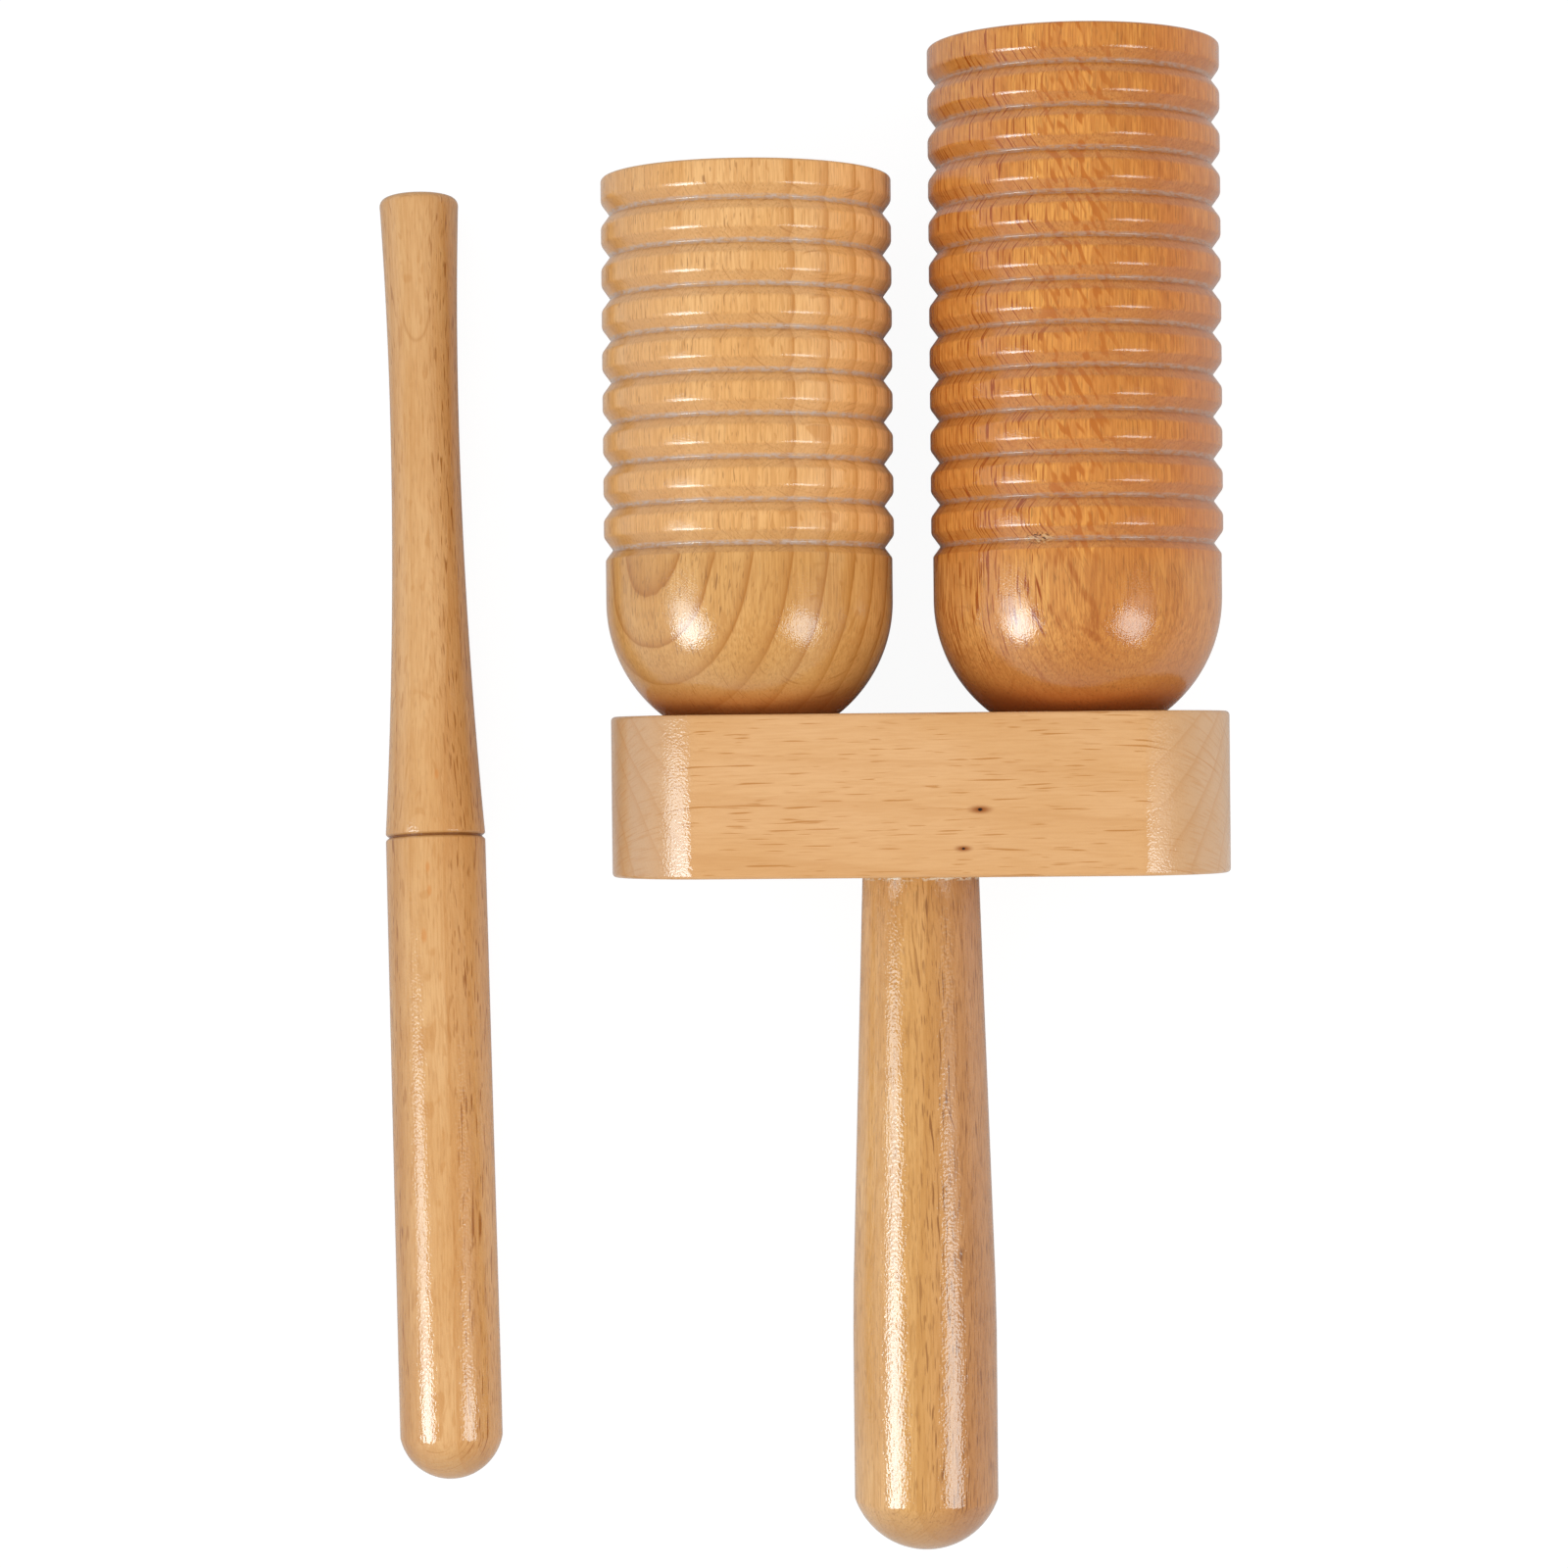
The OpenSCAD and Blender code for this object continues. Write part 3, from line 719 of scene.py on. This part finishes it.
# The torn place: pale crumbs of wood with dark holes between them
crumb_pale = (0.66, 0.44, 0.22, 1)
hole_dark = (0.06, 0.024, 0.01, 1)
tear = spot(low_grain, (-6.6, -22.2, 27.4), (3.2, 4.0, 1.2), low=0.4, high=1.0)
crumbs = cloud(low_tree, stretch(low_tree, low_grain["point"], (1.9, 1.9, 2.6)), rough=0.7)
stain(low_grain, product(low_tree, tear, ease(low_tree, crumbs, 0.36, 0.5, 1.0, 0.0)), crumb_pale)
stain(low_grain, product(low_tree, tear, ease(low_tree, crumbs, 0.55, 0.6)), hole_dark)
low_dull = ease(low_tree, low_grain["fibre"], 0.3, 0.7, 0.09, 0.13)
low_wood = lacquer(low_grain, low_dull, peel_mm=0.022, peel_fineness=(4.6, 3.8))
finish_piece(low_tube, low_wood, "block", "low_tube")


# Tube screws
# Countersunk zinc-plated wood screws, driven from inside each tube through its floor into the
# crossbar. Their heads show at the bottom of the bores.

zinc = bpy.data.materials.new("zinc_plate")
zinc.use_nodes = True
zinc_tree = zinc.node_tree
zinc_where = zinc_tree.nodes.new("ShaderNodeTexCoord").outputs["Object"]
zinc_cloud = cloud(zinc_tree, stretch(zinc_tree, zinc_where, (900.0, 900.0, 900.0)), detail=3.0)
zinc_colour = tint(zinc_tree, zinc_cloud, (0.52, 0.5, 0.46, 1), (0.68, 0.66, 0.62, 1))
zinc_dull = ease(zinc_tree, zinc_cloud, 0.3, 0.7, 0.25, 0.42)
zinc_shader = zinc_tree.nodes["Principled BSDF"]
zinc_shader.inputs["Metallic"].default_value = 1.0
zinc_tree.links.new(zinc_colour, zinc_shader.inputs["Base Color"])
zinc_tree.links.new(zinc_dull, zinc_shader.inputs["Roughness"])
for screw in ("high_tube_screw", "low_tube_screw"):
    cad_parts[screw].data.materials.clear()
    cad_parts[screw].data.materials.append(zinc)


# Beater
# A loose stick turned from beech: a thick half with a domed end, a ring groove near mid length
# and a waisted half that flares again to a flat butt. It lies beside the block on its thick half.

beater_place = Vector((-61.9516, -4.4742, 8.325)) * MM
beater_turn = (math.radians(-90.09907), 0.0, math.radians(1.6))
beater_half = 107.75 * MM
head_radius = 8.475 * MM
head_ball = 8.6305 * MM
head_rim = -100.75 * MM
head_straight_end = -86.75 * MM
shoulder_radius = 8.325 * MM
ring_level = -1.05 * MM
ring_half = 0.5 * MM
ring_floor = 7.725 * MM
ring_edge = 0.16 * MM
ring_floor_round = 0.1 * MM
waist_radius = 5.825 * MM
waist_level = 70.25 * MM
butt_radius = 6.75 * MM
butt_straight = 2.6 * MM
butt_round = 1.5 * MM
waist_sweep_radius = 988.2625 * MM
butt_sweep_radius = 760.57 * MM

beater = start_line("beech_beater", (0, 0, -beater_half))
head_centre = head_ball - beater_half
head_sweep = 90 - math.degrees(math.atan2(head_centre - head_rim, head_radius))
arc_on(26, head_sweep, centre=(0, 0, head_centre), axis=(0, 1, 0))
ring_low = (shoulder_radius, 0, ring_level - ring_half)
ring_bottom = (ring_floor, 0, ring_level)
ring_high = (shoulder_radius, 0, ring_level + ring_half)
line_to(beater, (head_radius, 0, head_straight_end), ring_low, ring_bottom, ring_high)
waist_sweep = math.degrees(math.asin((waist_level - ring_level - ring_half) / waist_sweep_radius))
arc_on(24, -waist_sweep, centre=(waist_radius + waist_sweep_radius, 0, waist_level), axis=(0, 1, 0))
butt_sweep = math.degrees(math.asin((beater_half - butt_straight - waist_level) / butt_sweep_radius))
arc_on(14, -butt_sweep, centre=(waist_radius + butt_sweep_radius, 0, waist_level), axis=(0, 1, 0))
butt_edge = (butt_radius, 0, beater_half)
line_to(beater, butt_edge, (0, 0, beater_half))
round_corners(beater, [butt_edge], size=butt_round, segments=6)
round_corners(beater, [ring_low, ring_high], size=ring_edge, segments=3)
round_corners(beater, [ring_bottom], size=ring_floor_round, segments=3)
turn_on_lathe(beater, steps=144)
lay_down(beater, beater_place, beater_turn, smooth_degrees=30)

beater_grain = beech(
    "beater_beech", beater_place, beater_turn, heart=(70.0, -18.0),
    lean={"x": 0.012, "y": 0.008, "bow": 0.0, "from": 0.0, "to": 200.0}, years=4.0,
    colours={
        "pale": (0.76, 0.445, 0.195, 1), "warm": (0.70, 0.38, 0.147, 1), "late": (0.58, 0.265, 0.075, 1),
        "fleck": (0.33, 0.11, 0.015, 1), "end": (0.55, 0.29, 0.10, 1),
        "ring_show": 0.4, "fibre_show": 0.4, "pore_show": 0.18, "fleck_show": 0.85, "end_show": 0.5,
    },
    rays={"large": (10.0, 0.32, 4.6), "small": (7.0, 0.22, 2.6), "level": 0.68},
)
beater_tree = beater_grain["tree"]
# Painted shade towards the beater's sides: browner on the left, and darker and redder on the right
left_painted_shade = ease(beater_tree, beater_grain["x"], -6.5, -3.5, 1.0, 0.0)
stain(beater_grain, left_painted_shade, (0.87, 0.81, 0.70, 1), "MULTIPLY")
redder = ease(beater_tree, beater_grain["x"], 0.5, 5.0)
stain(beater_grain, redder, (0.94, 0.87, 0.78, 1), "MULTIPLY")
blotch_red = (0.66, 0.24, 0.045, 1)
for place, size in (
    ((-1.2, -8.0, -17.9), 0.8),
    ((1.5, -8.0, 8.9), 0.6),
    ((-0.3, -8.0, -6.5), 0.6),
    ((-0.1, -8.0, -10.4), 0.6),
):
    blotch = spot(beater_grain, place, (size * 0.8, mark_depth, size * 2.0), low=0.4, high=1.0)
    stain(beater_grain, product(beater_tree, blotch, 0.5), blotch_red)

# One growth ring comes to the surface as a tongue near the butt
tongue_brown = (0.48, 0.20, 0.05, 1)
tongue_place = (-0.2, -6.0, 88.4)
tongue_outside = spot(beater_grain, tongue_place, (2.7, 4.0, 6.8), low=0.86, high=1.0)
tongue_inside = spot(beater_grain, tongue_place, (2.25, 4.0, 6.3), low=0.86, high=1.0)
tongue = work_out(beater_tree, "SUBTRACT", tongue_outside, tongue_inside)
tongue = product(beater_tree, tongue, ease(beater_tree, beater_grain["z"], 84.0, 89.5, 0.5, 0.0))
stain(beater_grain, tongue, tongue_brown)
ring_brown = (0.22, 0.07, 0.016, 1)
off_ring = work_out(beater_tree, "SUBTRACT", beater_grain["z"], ring_level / MM)
off_ring = work_out(beater_tree, "ABSOLUTE", off_ring)
stain(beater_grain, ease(beater_tree, off_ring, 0.12, 0.34, 0.85, 0.0), ring_brown)
beater_dull = ease(beater_tree, beater_grain["fibre"], 0.3, 0.7, 0.08, 0.12)
beater_wood = lacquer(beater_grain, beater_dull, peel_mm=0.04, peel_fineness=(2.8, 2.2))
finish_piece(beater, beater_wood, "beater", "beater")


# Table and studio
# A plain white table under the set, a soft box on each side below the camera, a larger dim panel
# beyond each box that shows only as a sheen, and the camera high above, a little towards the handle.

table_size = 12.0
bpy.ops.object.select_all(action="DESELECT")
bpy.ops.mesh.primitive_plane_add(size=table_size)
table = bpy.context.object
table.name = "table"
white = bpy.data.materials.new("table_white")
white.use_nodes = True
white_tree = white.node_tree
white_tree.nodes.remove(white_tree.nodes["Principled BSDF"])
sight = white_tree.nodes.new("ShaderNodeLightPath").outputs
seen = work_out(white_tree, "MAXIMUM", sight["Is Camera Ray"], sight["Is Transmission Ray"])
paint = add(white_tree, "BsdfDiffuse", {"Color": (0.65, 0.65, 0.65, 1)})
faint = add(white_tree, "BsdfDiffuse", {"Color": (0.1, 0.1, 0.1, 1)})
glow = add(white_tree, "Emission", {"Strength": 0.94})
shown = add(white_tree, "AddShader", {0: faint.outputs[0], 1: glow.outputs[0]})
table_mix = add(white_tree, "MixShader", {0: seen, 1: paint.outputs[0], 2: shown.outputs[0]})
white_tree.links.new(table_mix.outputs[0], white_tree.nodes["Material Output"].inputs["Surface"])
table.data.materials.append(white)

# The room: white where it is seen, a soft sky that lights the set, and a dimmer one in the gloss
sky_middle = (0.12, 0.1, 0.99)
studio = bpy.data.worlds.new("studio")
bpy.context.scene.world = studio
studio.use_nodes = True
room = studio.node_tree
room_sight = room.nodes.new("ShaderNodeLightPath").outputs
room_way = room.nodes.new("ShaderNodeTexCoord").outputs["Generated"]
room_parts = parts_of(room, room_way)
overhead = add(room, "VectorMath", {0: room_way, 1: sky_middle}, operation="DOT_PRODUCT").outputs["Value"]
soft_sky = add(room, "MapRange", {0: overhead, 1: 0.0, 2: 1.0, 3: 0.2, 4: 1.2}).outputs[0]
dim_top = ease(room, room_parts[2], 0.1, 0.7, 0.6, 0.2)
mirrored = product(room, dim_top, ease(room, room_parts[0], -0.9, 0.9, 1.5, 0.7))
plainly = work_out(room, "MAXIMUM", room_sight["Is Camera Ray"], room_sight["Is Transmission Ray"])
room_strength = add(room, "MapRange", {0: plainly, 3: soft_sky, 4: 1.0}).outputs[0]
in_gloss = {0: room_sight["Is Glossy Ray"], 3: room_strength, 4: mirrored}
room_strength = add(room, "MapRange", in_gloss).outputs[0]
room.nodes["Background"].inputs["Color"].default_value = (1.0, 1.0, 1.0, 1)
room.links.new(room_strength, room.nodes["Background"].inputs["Strength"])

set_middle = Vector((10.0, 0.0, 25.0)) * MM
box_size = (0.27, 0.36)
box_distance = 0.8
panel_size = (0.44, 0.68)
panel_x = 0.62
panel_y = -0.285
panel_z = 0.515
panel_slope = 1.24


def hang_light(name, size, watts):
    """Hangs up a rectangular light of the given width and length."""
    lamp = bpy.data.lights.new(name, "AREA")
    lamp.shape = "RECTANGLE"
    lamp.size = size[0]
    lamp.size_y = size[1]
    lamp.energy = watts
    light = bpy.data.objects.new(name, lamp)
    bpy.context.scene.collection.objects.link(light)
    return light


for side, box_watts, panel_watts in ((-1, 1.7, 4.6), (1, 1.2, 1.0)):
    box_way = Vector((side * 1.12, -0.6, 1.0)).normalized()
    soft_box = hang_light("soft_box", box_size, box_watts)
    soft_box.location = set_middle + box_way * box_distance
    soft_box.rotation_euler = box_way.to_track_quat("Z", "Y").to_euler()

    panel = hang_light("panel", panel_size, panel_watts)
    panel.location = (side * panel_x, panel_y, panel_z)
    panel.rotation_euler = (0.0, side * math.atan(panel_slope), 0.0)
    panel.visible_diffuse = False
    panel.data.use_nodes = True
    cloth = panel.data.node_tree
    cloth_place = cloth.nodes.new("ShaderNodeNewGeometry").outputs["Position"]
    cloth_parts = parts_of(cloth, cloth_place)
    from_middle = work_out(cloth, "ABSOLUTE", work_out(cloth, "SUBTRACT", cloth_parts[0], side * panel_x))
    bright = product(
        cloth, ease(cloth, from_middle, 0.04, 0.138, 1.0, 0.0),
        ease(cloth, cloth_parts[1], -0.62, -0.4), ease(cloth, cloth_parts[1], -0.03, 0.05, 1.0, 0.0),
    )
    cloth.links.new(bright, cloth.nodes["Emission"].inputs["Strength"])

camera_place = Vector((31.76, -46.91, 675.07)) * MM
lens = bpy.data.cameras.new("camera")
lens.sensor_width = 36.0
lens.lens = 91.86
camera = bpy.data.objects.new("camera", lens)
bpy.context.scene.collection.objects.link(camera)
camera.matrix_world = (
    Matrix.Translation(camera_place)
    @ Matrix.Rotation(math.radians(4.268), 4, "X")
    @ Matrix.Rotation(math.radians(3.0), 4, "Y")
    @ Matrix.Rotation(math.radians(-0.541), 4, "Z")
)
bpy.context.scene.camera = camera
bpy.context.scene.view_settings.view_transform = "Standard"
